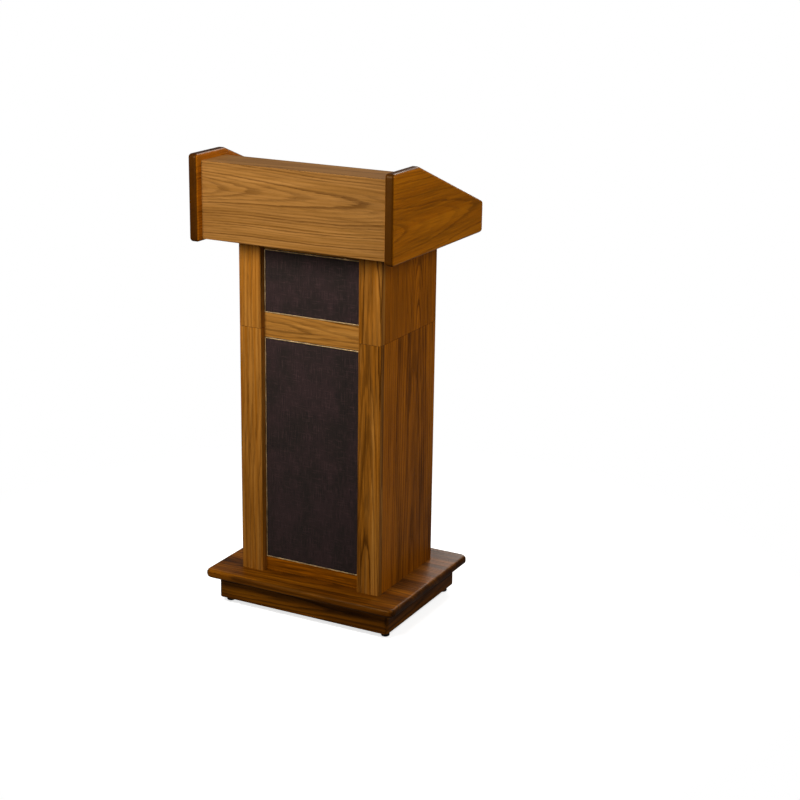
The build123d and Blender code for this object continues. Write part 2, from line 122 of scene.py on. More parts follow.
def fill_ramp(ramp, stops):
    """Gives a colour ramp its (place, grey value) stops."""
    while len(ramp.elements) > 1:
        ramp.elements.remove(ramp.elements[-1])
    for index, (place, tone) in enumerate(stops):
        stop = ramp.elements[0] if index == 0 else ramp.elements.new(place)
        stop.position = place
        stop.color = (tone, tone, tone, 1.0)


def times(color, factor):
    """A colour made lighter or darker."""
    return tuple(part * factor for part in color)


class Finish(Graph):
    """One procedural material."""

    def __init__(self, name):
        self.material = bpy.data.materials.new(name)
        self.material.use_nodes = True
        super().__init__(self.material.node_tree)
        self.tree.nodes.clear()

    def place(self, kind="Object"):
        return self.node("ShaderNodeTexCoord", output=kind)

    def parts(self, vector):
        """The three numbers of a vector."""
        split = self.node("ShaderNodeSeparateXYZ", None, {0: vector})
        outputs = split.socket.node.outputs
        return [Value(self, outputs[axis]) for axis in range(3)]

    def noise(self, vector, scale=1.0, detail=2.0, roughness=0.5):
        inputs = {"Vector": vector, "Scale": scale, "Detail": detail, "Roughness": roughness}
        return self.node("ShaderNodeTexNoise", None, inputs)

    def span(self, value, low, high, to_low=0.0, to_high=1.0):
        """The value carried from one range to another, and held inside it."""
        inputs = {0: value, 1: low, 2: high, 3: to_low, 4: to_high}
        return self.node("ShaderNodeMapRange", {"interpolation_type": "SMOOTHSTEP"}, inputs)

    def ramp(self, value, stops):
        return self.node("ShaderNodeValToRGB", {"stops": stops}, {0: value})

    def mix(self, factor, first, second):
        """One colour mixed into another."""
        first, second = ((*color, 1.0) if isinstance(color, tuple) else color for color in (first, second))
        return self.node("ShaderNodeMix", {"data_type": "RGBA"}, {0: factor, 6: first, 7: second}, output=2)

    def close(self, color, roughness, height=None, depth=0.0002, **fixed):
        """Ends the tree in its surface. The fixed values go straight on the shader's sockets."""
        inputs = {"Base Color": (*color, 1.0) if isinstance(color, tuple) else color}
        inputs["Roughness"] = roughness
        if height is not None:
            relief = {"Distance": depth, "Height": height}
            inputs["Normal"] = self.node("ShaderNodeBump", None, relief)
        inputs.update({name.replace("_", " "): given for name, given in fixed.items()})
        shader = self.node("ShaderNodeBsdfPrincipled", None, inputs)
        self.node("ShaderNodeOutputMaterial", None, {"Surface": shader})
        return self.material


# ---- finishes ------------------------------------------------------------------------
class Log:
    """How one board was cut from its log: where the pith runs beside it and how the rings lie."""

    def __init__(self, lay, stain, across, depth, rise, rings, flame, seed, grain=0.8):
        self.lay = lay
        self.stain = stain
        self.across = across
        self.depth = depth
        self.rise = rise
        self.rings = rings
        self.flame = flame
        self.seed = seed
        self.grain = grain


# Each board's log: its axes along the grain, across it and through the board, then its stain.
# Across and depth say where the pith lies from the middle of the board's outer face, rise how it
# leaves that face along the grain, and rings how wide the rings are. Flame is how strongly dark
# clouds cross the board, seed makes it unlike the others, and grain is how dark its lines are.
LOGS = {
    "hood_front_panel": Log("XZY", "panel", 0.034, 0.034, 0.055, 0.0060, 0.30, 3),
    # The left cheek takes the sides' darker stain rather than the right cheek's: this is partly painted shade
    # on its inner face and front edge.
    "hood_cheek_left": Log("YZX", "side", 0.09, -0.07, 0.05, 0.0065, 0.45, 11, 0.45),
    "hood_cheek_right": Log("YZX", "hood", -0.03, -0.05, 0.07, 0.0065, 0.45, 12, 0.45),
    "hood_cap_board": Log("XYZ", "panel", 0.03, -0.05, 0.05, 0.0070, 0.35, 13, 0.6),
    "hood_back_rail": Log("XZY", "hood", 0.05, -0.06, 0.03, 0.0060, 0.45, 14),
    "reading_desk": Log("XYZ", "hood", 0.02, -0.03, 0.07, 0.0065, 0.45, 15),
    "book_stop": Log("XYZ", "hood", 0.04, -0.09, 0.02, 0.0055, 0.45, 16),
    # The right-hand stiles have a stronger flame and darker lines than the left-hand ones: partly their own
    # cathedral figure, partly painted shade where the light falls off on the right towards the foot.
    "lower_stile_left": Log("ZXY", "stile", 0.10, 0.16, 0.02, 0.0075, 0.30, 21, 0.45),
    "lower_stile_right": Log("ZXY", "stile", -0.004, 0.024, 0.040, 0.0060, 0.85, 22, 1.0),
    "upper_stile_left": Log("ZXY", "stile", 0.11, 0.12, 0.02, 0.0075, 0.25, 23, 0.45),
    "upper_stile_right": Log("ZXY", "stile", 0.006, 0.030, 0.060, 0.0060, 0.65, 24, 0.95),
    "lower_side_left": Log("ZYX", "side", 0.03, 0.05, 0.035, 0.0095, 0.85, 25, 0.60),
    "lower_side_right": Log("ZYX", "side", 0.02, -0.05, 0.035, 0.0095, 0.85, 26, 0.60),
    "upper_side_left": Log("ZYX", "side", 0.02, 0.030, 0.090, 0.0075, 0.50, 27, 0.75),
    "upper_side_right": Log("ZYX", "side", 0.04, -0.022, 0.110, 0.0070, 0.50, 28, 0.85),
    # The bottom rail takes the sides' stain and a heavy flame, darker than the other rails: painted shade for
    # the light falling off at the column's foot.
    "lower_bottom_rail": Log("XZY", "side", 0.05, 0.09, 0.02, 0.0060, 0.90, 31),
    "lower_top_rail": Log("XZY", "rail", 0.04, 0.08, 0.02, 0.0058, 0.35, 32),
    "upper_bottom_rail": Log("XZY", "rail", -0.02, 0.05, 0.03, 0.0062, 0.35, 33),
    "upper_top_rail": Log("XZY", "rail", 0.05, 0.09, 0.02, 0.0060, 0.40, 34),
    "lower_back_rail": Log("XZY", "stile", 0.05, -0.09, 0.02, 0.0060, 0.50, 35),
    "plinth_board": Log("XYZ", "plinth", -0.14, -0.05, 0.05, 0.0080, 0.95, 41, 0.9),
    "apron_front": Log("XZY", "plinth", 0.004, 0.012, 0.035, 0.0085, 0.60, 42),
    "apron_back": Log("XZY", "plinth", 0.01, -0.025, 0.05, 0.0110, 0.75, 43),
    "apron_left": Log("YZX", "plinth", 0.01, 0.03, 0.05, 0.0110, 0.85, 44),
    "apron_right": Log("YZX", "plinth", 0.01, -0.03, 0.06, 0.0110, 0.85, 45),
    "lower_top_deck": Log("XYZ", "inside", 0.09, -0.06, 0.03, 0.0065, 0.25, 51),
    "upper_deck": Log("XYZ", "inside", 0.08, -0.07, 0.03, 0.0065, 0.25, 52),
    "hood_floor": Log("XYZ", "inside", 0.07, -0.06, 0.03, 0.0065, 0.25, 53),
    "fixed_shelf": Log("XYZ", "inside", 0.05, -0.05, 0.04, 0.0065, 0.25, 54),
    "adjustable_shelf": Log("XYZ", "inside", 0.03, -0.05, 0.04, 0.0065, 0.25, 55),
}
# The cheeks whose edge faces are darkened: partly end grain taking more stain, partly painted shade for the
# light their rims catch less of.
SHADE_PAINTED_RIMS = ("hood_cheek_left", "hood_cheek_right")
RING_PROFILE = [(0.0, 0.45), (0.06, 1.0), (0.30, 0.80), (0.46, 0.18), (0.92, 0.0), (1.0, 0.45)]
WANDER = 0.020  # how far the pith strays from a straight line
RIPPLE = 0.0030  # how far a ring strays from a circle
FIRST_RING = 40.0  # keeps the count of rings above nought
LACQUER = {
    "Coat_Weight": 0.03,
    "Coat_Roughness": 0.30,
    "Specular_IOR_Level": 0.16,
    "Specular_Tint": (1.0, 0.58, 0.20, 1.0),
}


def oak(name, log, tones):
    """Ring-porous oak under stain and semi-gloss lacquer, cut from its own log."""
    made = Finish(name)
    dark, middle, light = tones
    low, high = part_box(name)
    centre = (low + high) / 2
    coordinates = made.parts(made.place())
    along, across, through = (coordinates[AXIS[axis]] - centre[AXIS[axis]] for axis in log.lay)
    half = (high - low)[AXIS[log.lay[2]]] / 2
    face = -half if log.depth > 0 else half
    seed = float(log.seed)

    def grain(length, width, shift=0.0, **kind):
        """Noise drawn out along the grain, by how fast it changes along it and across it."""
        deep = through * width + shift if shift else through * width
        return made.noise(made.combine(along * length, across * width, deep), **kind)

    wander = made.noise(made.combine(along * 2.6, seed, 0.7), detail=1.0)
    sway = made.noise(made.combine(along * 2.2, seed, 5.3), detail=1.0)
    ripple = grain(9.0, 26.0, seed)
    fibre = grain(9.0, 430.0, detail=3.0, roughness=0.6)
    tear = grain(7.0, 150.0, seed, detail=3.0, roughness=0.65)
    streak = grain(3.0, 120.0, seed, detail=3.0)
    pores = grain(55.0, 1500.0, detail=1.0)
    drift = made.noise(made.combine(along * 1.5 + seed, across * 24.0, through * 24.0), detail=3.0)

    beside = across - log.across + (sway - 0.5) * WANDER
    slope = math.copysign(log.rise, log.depth)
    below = through - (face + log.depth) - along * slope + (wander - 0.5) * WANDER
    radius = made.math("SQRT", beside * beside + below * below) + (ripple - 0.5) * RIPPLE
    rings = radius / log.rings + (fibre - 0.5) * 0.40 + (tear - 0.5) * 0.75 + FIRST_RING
    count = made.math("FLOOR", rings)
    vigour = made.node("ShaderNodeTexWhiteNoise", {"noise_dimensions": "1D"}, {"W": count + seed})
    line = made.ramp(made.math("FRACT", rings), RING_PROFILE) * (0.20 + 0.80 * vigour)
    flame = made.span(drift + (tear - 0.5) * 0.45 + (streak - 0.5) * 0.30, 0.40, 0.58)
    pores = made.span(pores, 0.60, 0.72) * (0.25 + 0.75 * line)

    toned = made.mix(made.span(streak, 0.32, 0.68), middle, light)
    toned = made.mix(flame * log.flame, toned, made.mix(made.span(tear, 0.35, 0.7), dark, middle))
    toned = made.mix(line * log.grain, toned, dark)
    toned = made.mix(made.span(fibre, 0.52, 0.72) * 0.45, toned, dark)
    toned = made.mix(pores * 0.75, toned, times(dark, 0.45))
    normal = made.parts(made.place("Normal"))
    end = made.span(abs(normal[AXIS[log.lay[0]]]), 0.35, 0.85)
    # On the cheeks every edge face is darkened towards the dark tone: partly stain soaking into end grain,
    # partly painted shade for the light the rims catch less of.
    if name in SHADE_PAINTED_RIMS:
        rim_stain_and_shade = made.span(abs(normal[AXIS[log.lay[2]]]), 0.45, 0.97, 1.0, 0.0)
        end = made.math("MAXIMUM", end, rim_stain_and_shade) * 0.94
        toned = made.mix(end, toned, times(dark, 0.45))
    else:
        toned = made.mix(end * 0.66, toned, times(dark, 0.9))
    roughness = 0.38 + 0.16 * pores + 0.10 * line + 0.08 * (fibre - 0.5)
    height = 1.0 - 0.8 * pores - 0.25 * line + 0.15 * fibre
    return made.close(toned, roughness, height, 0.00018, **LACQUER)


def speckled(name, grit, cloud, low, high, first, second):
    """Starts a finish: fine grit for its relief, and a broad cloud that carries one tone to another."""
    made = Finish(name)
    place = made.place()
    grit, cloud = made.noise(place, *grit), made.noise(place, *cloud)
    tone = made.mix(made.span(cloud, low, high), first, second)
    return made, place, grit, cloud, tone


def painted_board(name, color, seed):
    """Sprayed fibreboard: a slight orange peel and a few specks of dust."""
    tones = times(color, 0.75), times(color, 1.25)
    made, place, peel, _, tone = speckled(name, (420.0, 3.0), (9.0 + seed, 3.0), 0.3, 0.7, *tones)
    dust = made.span(made.noise(place, 900.0, 1.0), 0.72, 0.80)
    tone = made.mix(dust * 0.25, tone, (0.20, 0.18, 0.16))
    return made.close(tone, 0.55 + 0.2 * peel, peel, 0.00012)


def bare_board(name, color, lay):
    """Unfinished softwood with fine straight grain."""
    made = Finish(name)
    parts = made.parts(made.place())
    along, across, through = (parts[AXIS[axis]] for axis in lay)
    grain = made.noise(made.combine(along * 4.0, across * 260.0, through * 260.0), detail=3.0)
    band = made.noise(made.combine(along * 1.5, across * 60.0, through * 60.0), detail=2.0)
    tone = made.mix(made.span(band, 0.3, 0.7), color, times(color, 0.72))
    tone = made.mix(made.span(grain, 0.5, 0.72) * 0.5, tone, times(color, 0.45))
    return made.close(tone, 0.62 + 0.1 * grain, grain, 0.00015)


def moulded_plastic(name, color):
    """Moulded plastic with a fine spark texture and rubbed high spots."""
    made = Finish(name)
    place = made.place()
    grain = made.noise(place, 1600.0, 2.0)
    wear = made.span(made.noise(place, 60.0, 3.0), 0.52, 0.75)
    tone = made.mix(wear * 0.4, color, tuple(c * 2.2 + 0.01 for c in color))
    return made.close(tone, 0.42 + 0.18 * grain + 0.1 * wear, grain, 0.00004)


def plated_steel(name, color, rough):
    """Plated steel: faint turning marks and dull patches."""
    made = Finish(name)
    place = made.place()
    cloud = made.noise(place, 130.0, 3.0)
    scratch = made.noise(made.node("ShaderNodeMapping", None, {0: place, 3: (200.0, 3000.0, 200.0)}))
    tone = made.mix(made.span(cloud, 0.35, 0.7), color, times(color, 0.62))
    return made.close(tone, rough + 0.16 * cloud + 0.06 * scratch, scratch, 0.00002, Metallic=1.0)


def sprayed_steel(name, color):
    """Steel pressings under semi-matt black enamel."""
    tones = color, times(color, 1.7)
    made, _, peel, cloud, tone = speckled(name, (700.0, 2.0), (40.0, 3.0), 0.35, 0.7, *tones)
    return made.close(tone, 0.38 + 0.12 * cloud, peel, 0.00006, Coat_Weight=0.2)


def ferrite(name):
    """Pressed ferrite: grey-black, matt, with fine grit."""
    tones = (0.020, 0.020, 0.022), (0.060, 0.058, 0.058)
    made, _, grit, _, tone = speckled(name, (1400.0, 3.0), (1400.0, 3.0), 0.35, 0.7, *tones)
    return made.close(tone, 0.62 + 0.12 * grit, grit, 0.00008)


def cone_paper(name):
    """Pulped paper with fibres and a little fuzz."""
    tones = (0.018, 0.018, 0.019), (0.045, 0.043, 0.042)
    made, _, pulp, _, tone = speckled(name, (900.0, 4.0, 0.65), (55.0, 3.0), 0.3, 0.7, *tones)
    tone = made.mix(made.span(pulp, 0.58, 0.70) * 0.4, tone, (0.10, 0.095, 0.09))
    return made.close(tone, 0.70 + 0.15 * pulp, pulp, 0.0001)


def gilt(name, color):
    """Gilt braid: metallised thread, duller and darker in its hollows."""
    tones = color, times(color, 0.45)
    made, _, thread, _, tone = speckled(name, (1500.0, 2.0), (38.0, 3.0), 0.38, 0.66, *tones)
    tone = made.mix(made.span(thread, 0.5, 0.7) * 0.35, tone, times(color, 0.35))
    return made.close(tone, 0.34 + 0.22 * thread, thread, 0.00005, Metallic=0.75)


def woven_cloth(name, color, thread):
    """Plain-woven grille cloth: warp over weft, slubs, and small gaps between the threads."""
    made = Finish(name)
    u, v, _ = made.parts(made.place("UV"))
    wobble = made.noise(made.combine(u * 30.0, v * 30.0, 0.0), detail=2.0)
    warp = u / thread + (wobble - 0.5) * 0.9
    weft = v / thread + (wobble - 0.5) * 0.9

    def wave(thread_count, shift=0.0):
        """One half wave for each thread."""
        return made.math("SINE", (thread_count + shift) * math.pi)

    over = wave(warp) * wave(weft)
    warp_line, weft_line = abs(wave(warp, 0.5)), abs(wave(weft, 0.5))
    cell = wave(warp, 0.5) * wave(weft, 0.5)
    height = 0.5 + 0.25 * made.math("SIGN", cell) * (1.0 - abs(over)) + 0.25 * warp_line * weft_line
    slub_up = made.noise(made.combine(u * 330.0, v * 32.0, 3.0), detail=2.0)
    slub_across = made.noise(made.combine(u * 32.0, v * 330.0, 9.0), detail=2.0)
    cloud = made.noise(made.combine(u * 16.0, v * 9.0, 1.0), detail=4.0, roughness=0.6)
    dusty = (color[0] * 0.72, color[1] * 0.88, color[2] * 0.74)
    tone = made.mix(made.span(cloud, 0.36, 0.64), dusty, times(color, 1.20))
    slubs = made.span(slub_up, 0.54, 0.70) * 0.6 + made.span(slub_across, 0.54, 0.70) * 0.6
    tone = made.mix(slubs * 0.60, tone, times(color, 2.8))
    gap = made.span(warp_line * weft_line, 0.0, 0.35, 1.0, 0.0)
    tone = made.mix(gap * 0.75, tone, (0.002, 0.002, 0.002))
    tone = made.mix(made.span(slub_up, 0.30, 0.42, 1.0, 0.0) * 0.5, tone, (0.006, 0.004, 0.005))
    nap = {"Sheen_Weight": 0.06, "Sheen_Roughness": 0.5, "Specular_IOR_Level": 0.2}
    return made.close(tone, 0.85, height + 0.3 * slubs, 0.00030, **nap)


def pale_floor(name, glow):
    """A plain pale floor that shows nearly white, whiter further off, and throws little light back up."""
    made = Finish(name)
    place = made.place()
    x, y, _ = made.parts(place)
    drift = made.noise(place, 0.6, 2.0)
    dull, pale = (
        made.node("ShaderNodeBsdfDiffuse", None, {"Color": made.mix(drift, (tone,) * 3, (tone + 0.03,) * 3)})
        for tone in (0.14, 0.86)
    )
    near, far = (
        made.node("ShaderNodeEmission", None, {"Color": WHITE, "Strength": strength})
        for strength in (glow, 1.0)
    )
    near = made.node("ShaderNodeAddShader", None, {0: pale, 1: near})
    away = made.span(made.math("SQRT", x * x + y * y), 0.35, 1.30)
    shown = made.node("ShaderNodeMixShader", None, {0: away, 1: near, 2: far})
    seen = made.node("ShaderNodeLightPath", output="Is Camera Ray")
    surface = made.node("ShaderNodeMixShader", None, {0: seen, 1: dull, 2: shown})
    made.node("ShaderNodeOutputMaterial", None, {"Surface": surface})
    return made.material


# ---- meshes --------------------------------------------------------------------------
def place_mesh(name, mesh, material):
    """An object at the origin whose place is in its mesh."""
    made = bpy.data.objects.new(name, mesh)
    bpy.context.scene.collection.objects.link(made)
    mesh.materials.clear()
    mesh.materials.append(material)
    return made


def settle(piece, body, node):
    """Puts a piece on its body, in place of a CAD node."""
    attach(piece, body)
    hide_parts(node)


def middle_and_half(node):
    """The middle of a CAD node's box and half its size."""
    low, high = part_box(node)
    return (low + high) / 2, (high - low) / 2


def from_bmesh(name, shape, smooth=30.0):
    """A mesh with its doubles merged, its faces turned outwards and its flat edges kept."""
    bmesh.ops.remove_doubles(shape, verts=shape.verts, dist=SAME_PLACE)
    bmesh.ops.recalc_face_normals(shape, faces=shape.faces)
    limit = math.radians(smooth)
    for face in shape.faces:
        face.smooth = True
    for edge in shape.edges:
        edge.smooth = len(edge.link_faces) == 2 and edge.calc_face_angle(0.0) < limit
    mesh = bpy.data.meshes.new(name)
    shape.to_mesh(mesh)
    shape.free()
    return mesh


def lathe(shape, outline, seat, steps=64):
    """Adds a closed (radius, height) outline turned about the seat's Z axis."""
    rings = []
    for step in range(steps):
        angle = FULL_TURN * step / steps
        way = Vector((math.cos(angle), math.sin(angle), 0.0))
        rings.append([shape.verts.new(seat @ (way * r + Vector((0.0, 0.0, z)))) for r, z in outline])
    on_axis = [r < ON_AXIS for r, _ in outline]
    for step in range(steps):
        here, there = rings[step], rings[(step + 1) % steps]
        for index in range(len(outline)):
            after = (index + 1) % len(outline)
            if on_axis[index] and on_axis[after]:
                continue
            quad = [here[index], there[index], there[after], here[after]]
            if on_axis[index]:
                quad.pop(1)
            elif on_axis[after]:
                quad.pop(2)
            shape.faces.new(quad)


def turned(name, outlines, seat, steps, smooth=30.0):
    """A mesh of closed outlines turned about the seat's Z axis."""
    shape = bmesh.new()
    for outline in outlines:
        lathe(shape, outline, seat, steps)
    return from_bmesh(name, shape, smooth)


def rounded(outline, radius, steps=4):
    """An outline with its corners turned into short arcs."""
    made = []
    count = len(outline)
    for index, point in enumerate(outline):
        here = Vector(point)
        before = Vector(outline[index - 1]) - here
        after = Vector(outline[(index + 1) % count]) - here
        reach = min(radius, before.length * 0.45, after.length * 0.45)
        if here.x < ON_AXIS or reach < SAME_PLACE / 10:
            made.append(tuple(here))
            continue
        start = here + before.normalized() * reach
        end = here + after.normalized() * reach
        for step in range(steps + 1):
            t = step / steps
            bend = start.lerp(here, t).lerp(here.lerp(end, t), t)
            made.append(tuple(bend))
    return made


def rounded_loop(half_x, half_z, radius, steps):
    """Points of a rounded rectangle about the middle, anticlockwise."""
    points = []
    for quarter, (sx, sz) in enumerate(((1, 1), (-1, 1), (-1, -1), (1, -1))):
        middle = Vector((sx * (half_x - radius), sz * (half_z - radius)))
        for step in range(steps + 1):
            angle = math.pi / 2 * (quarter + step / steps)
            points.append(middle + Vector((math.cos(angle), math.sin(angle))) * radius)
    return points


# ---- shapes grown by node trees ------------------------------------------------------
class Shape(Graph):
    """A geometry tree with named inputs, which ends in Realize Instances and Set Material."""

    def __init__(self, name, sizes):
        super().__init__(bpy.data.node_groups.new(name, "GeometryNodeTree"))
        face = self.tree.interface
        face.new_socket("Geometry", in_out="INPUT", socket_type="NodeSocketGeometry")
        for label, size in sizes.items():
            item = face.new_socket(label, in_out="INPUT", socket_type="NodeSocketFloat")
            item.default_value = size
        face.new_socket("Material", in_out="INPUT", socket_type="NodeSocketMaterial")
        face.new_socket("Geometry", in_out="OUTPUT", socket_type="NodeSocketGeometry")
        self.given = self.tree.nodes.new("NodeGroupInput")

    def size(self, label):
        return Value(self, self.given.outputs[label])

    def rise(self, geometry, height):
        """The geometry moved along Z."""
        move = self.combine(0.0, 0.0, height)
        return self.node("GeometryNodeTransform", None, {0: geometry, "Translation": move})

    def joined(self, *pieces):
        join = self.tree.nodes.new("GeometryNodeJoinGeometry")
        for piece in pieces:
            self.tree.links.new(piece.socket, join.inputs[0])
        return Value(self, join.outputs[0])

    def swept(self, path, profile):
        inputs = {0: path, 1: profile, "Fill Caps": True}
        return self.node("GeometryNodeCurveToMesh", None, inputs)

    def circle(self, steps, radius):
        inputs = {"Resolution": steps, "Radius": radius}
        return self.node("GeometryNodeCurvePrimitiveCircle", None, inputs)

    def cone(self, bottom, top, height):
        inputs = {"Vertices": 24, "Radius Bottom": bottom, "Radius Top": top, "Depth": height}
        return self.node("GeometryNodeMeshCone", None, inputs)

    def cylinder(self, steps, radius, height):
        inputs = {"Vertices": steps, "Radius": radius, "Depth": height}
        return self.node("GeometryNodeMeshCylinder", None, inputs)

    def thread(self, steps, turns, radius, height, start, wire):
        """A three-sided wire wound about the Z axis, from a start height upwards."""
        spiral = self.node("GeometryNodeCurveSpiral", None, {
            "Resolution": steps, "Rotations": turns, "Start Radius": radius, "End Radius": radius,
            "Height": height})
        return self.swept(self.rise(spiral, start), self.circle(3, wire))

    def instances(self, points, shape, turn=None):
        """The shape on each point, turned by three angles."""
        inputs = {0: points, "Instance": shape}
        if turn is not None:
            inputs["Rotation"] = self.node("FunctionNodeEulerToRotation", None, {0: turn})
        return self.node("GeometryNodeInstanceOnPoints", None, inputs)

    def on_points(self, shape, turn=None):
        """Ends the tree with the shape on each point of the base mesh."""
        points = self.node("GeometryNodeMeshToPoints", None, {0: self.size("Geometry")})
        return self.close(self.instances(points, shape, turn))

    def close(self, geometry):
        real = self.node("GeometryNodeRealizeInstances", None, {0: geometry})
        done = self.node("GeometryNodeSetMaterial", None, {0: real, "Material": self.size("Material")})
        self.node("NodeGroupOutput", None, {0: done})
        return self.tree


def grown(name, base, tree, material, values):
    """A plain mesh that a geometry tree makes from a base mesh."""
    source = bpy.data.objects.new(name + "_base", base)
    bpy.context.scene.collection.objects.link(source)
    modifier = source.modifiers.new("Shape", "NODES")
    modifier.node_group = tree
    given = {**values, "Material": material}
    for item in tree.interface.items_tree:
        if item.in_out == "INPUT" and item.name in given:
            modifier[item.identifier] = given[item.name]
    graph = bpy.context.evaluated_depsgraph_get()
    mesh = bpy.data.meshes.new_from_object(source.evaluated_get(graph), depsgraph=graph)
    mesh.name = name
    bpy.data.objects.remove(source)
    return mesh


def points_mesh(name, points, closed=False):
    """Loose points, or one closed line through them."""
    mesh = bpy.data.meshes.new(name)
    count = len(points)
    edges = [(index, (index + 1) % count) for index in range(count)] if closed else []
    mesh.from_pydata([tuple(point) for point in points], edges, [])
    return mesh


def braid_tree():
    """A row of slanted beads along a closed line, over a thin core."""
    made = Shape("Braid", {
        "Bead Length": 0.004, "Bead Width": 0.0028, "Bead Depth": 0.0016, "Pitch": 0.0022, "Slant": 0.6,
        "Core Radius": 0.0006})
    line = made.node("GeometryNodeMeshToCurve", None, {0: made.size("Geometry")})
    pitch = made.size("Pitch")
    spaced = made.node("GeometryNodeResampleCurve", {"mode": "LENGTH"}, {0: line, "Length": pitch})
    points = made.node("GeometryNodeCurveToPoints", {"mode": "EVALUATED"}, {0: spaced})
    tangent = Value(made, points.socket.node.outputs["Tangent"])
    axes = {"axis": "X", "pivot_axis": "Y"}
    facing = made.node("FunctionNodeAlignRotationToVector", axes, {"Vector": tangent})
    slant = made.combine(0.0, made.size("Slant"), 0.0)
    slant = made.node("FunctionNodeEulerToRotation", None, {0: slant})
    facing = made.node("FunctionNodeRotateRotation", {"rotation_space": "LOCAL"}, {0: facing, 1: slant})
    bead = made.node("GeometryNodeMeshUVSphere", None, {"Segments": 8, "Rings": 6, "Radius": 0.5})
    size = made.combine(made.size("Bead Length"), made.size("Bead Depth"), made.size("Bead Width"))
    bead = made.node("GeometryNodeTransform", None, {0: bead, "Scale": size})
    inputs = {0: points, "Instance": bead, "Rotation": facing}
    row = made.node("GeometryNodeInstanceOnPoints", None, inputs)
    core = made.swept(spaced, made.circle(6, made.size("Core Radius")))
    return made.close(made.node("GeometryNodeSetShadeSmooth", None, {0: made.joined(row, core)}))


def screw_tree():
    """A wood screw under each point: a crowned head with a cross recess, and a thread along -Z."""
    made = Shape("Screw", {
        "Head Radius": 0.004, "Head Height": 0.0022, "Foot Radius": 0.004, "Shank Radius": 0.0019,
        "Length": 0.014, "Pitch": 0.0016, "Recess": 0.0012, "Turn X": 0.0, "Turn Y": 0.0, "Turn Z": 0.0})
    radius, height = made.size("Head Radius"), made.size("Head Height")
    shank, length, pitch = made.size("Shank Radius"), made.size("Length"), made.size("Pitch")
    rim_stain_and_shade = made.cone(made.size("Foot Radius"), radius, height * 0.55)
    crown = made.rise(made.cone(radius, radius * 0.60, height * 0.45), height * 0.55)
    merged = {0: made.joined(rim_stain_and_shade, crown), "Distance": SAME_PLACE}
    head = made.node("GeometryNodeMergeByDistance", None, merged)
    bar = made.combine(radius * 1.15, radius * 0.24, made.size("Recess") * 2.0)
    bar = made.rise(made.node("GeometryNodeMeshCube", None, {"Size": bar}), height)
    crossed = {0: bar, "Rotation": (0.0, 0.0, math.pi / 2)}
    recess = made.joined(bar, made.node("GeometryNodeTransform", None, crossed))
    sides = {"Mesh 1": head, "Mesh 2": recess}
    head = made.node("GeometryNodeMeshBoolean", {"operation": "DIFFERENCE"}, sides)
    core = made.rise(made.cylinder(12, shank * 0.78, length), length * -0.5)
    thread = made.thread(14, length / pitch - 2.0, shank * 0.80, length - pitch * 2.0, pitch - length,
                         shank * 0.20)
    turn = made.combine(made.size("Turn X"), made.size("Turn Y"), made.size("Turn Z"))
    return made.on_points(made.joined(head, core, thread), turn)


def stud_tree():
    """A threaded stud that stands on each point."""
    made = Shape("Stud", {"Radius": 0.004, "Length": 0.035, "Pitch": 0.00125})
    radius, length, pitch = made.size("Radius"), made.size("Length"), made.size("Pitch")
    core = made.rise(made.cylinder(24, radius * 0.84, length), length * 0.5)
    thread = made.thread(20, length / pitch - 1.5, radius * 0.87, length - pitch * 1.5, pitch * 0.75,
                         radius * 0.13)
    return made.on_points(made.joined(core, thread))


def spoke_tree():
    """Pressed spokes round a basket, from its hub's corner to its flange, on each point."""
    made = Shape("Spokes", {
        "Count": 6.0, "Hub Radius": 0.036, "Rim Radius": 0.058, "Depth": 0.034, "Width": 0.015,
        "Thickness": 0.002})
    line = made.node("GeometryNodeCurvePrimitiveLine", None, {
        "Start": made.combine(made.size("Hub Radius"), 0.0, made.size("Depth")),
        "End": made.combine(made.size("Rim Radius"), 0.0, 0.0)})
    strip = {"Width": made.size("Width"), "Height": made.size("Thickness")}
    profile = made.node("GeometryNodeCurvePrimitiveQuadrilateral", None, strip)
    spoke = made.swept(line, profile)
    count = made.size("Count")
    ring = made.node("GeometryNodeMeshCircle", None, {"Vertices": count, "Radius": 0.0001})
    angle = (made.node("GeometryNodeInputIndex") + 0.5) * FULL_TURN / count
    return made.on_points(made.instances(ring, spoke, made.combine(0.0, 0.0, angle)))


# ---- the user's sizes and colours ----------------------------------------------------
def setting(kind, **fixed):
    """Makes settings of one kind, each from its label, its description and its default."""

    def make(label, text, default):
        return getattr(bpy.props, kind)(name=label, description=text, default=default, **fixed)

    return make


tone_property = setting("FloatVectorProperty", size=3, min=0.0, max=1.0, subtype="COLOR")
length_property = setting("FloatProperty", min=0.0, unit="LENGTH", precision=4)
angle_property = setting("FloatProperty", subtype="ANGLE")
power_property = setting("FloatProperty", min=0.0, unit="POWER")
share_property = setting("FloatProperty", min=0.0)


TONES = {"dark": "Ring lines", "middle": "Ground", "light": "Light streaks"}
